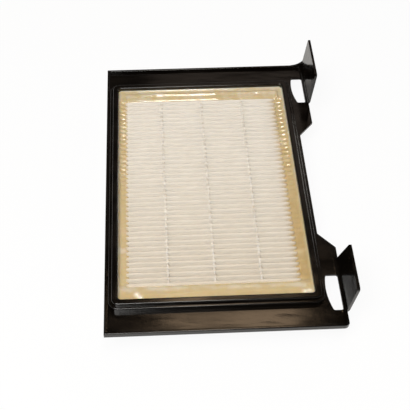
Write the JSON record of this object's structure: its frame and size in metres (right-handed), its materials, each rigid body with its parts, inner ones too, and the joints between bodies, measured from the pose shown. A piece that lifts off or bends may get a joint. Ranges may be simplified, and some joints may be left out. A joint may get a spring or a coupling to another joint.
{
  "type": "vacuum exhaust filter",
  "caption": "Flat black moulded frame with a stepped collar round a potted pleated filter pack, and slotted ears with upright latch leaves on one long side.",
  "frame": {"origin": "centre of the part's box in plan, on the underside of the box below the flange", "axes": "+X towards the latch side, +Y along the filter, +Z out of the pleated face that the collar surrounds"},
  "size_m": [0.135, 0.2014, 0.049],
  "materials": {
    "frame_plastic": "satin black moulding",
    "media": "matt cream fibre sheet",
    "hot_melt": "glossy amber hot-melt",
    "thread_melt": "pale hot-melt"
  },
  "bodies": {
    "root": {"filter_frame": "frame_plastic", "pleated_media": "media", "potting": "hot_melt", "spacer_threads": "thread_melt"}
  },
  "joints": []
}
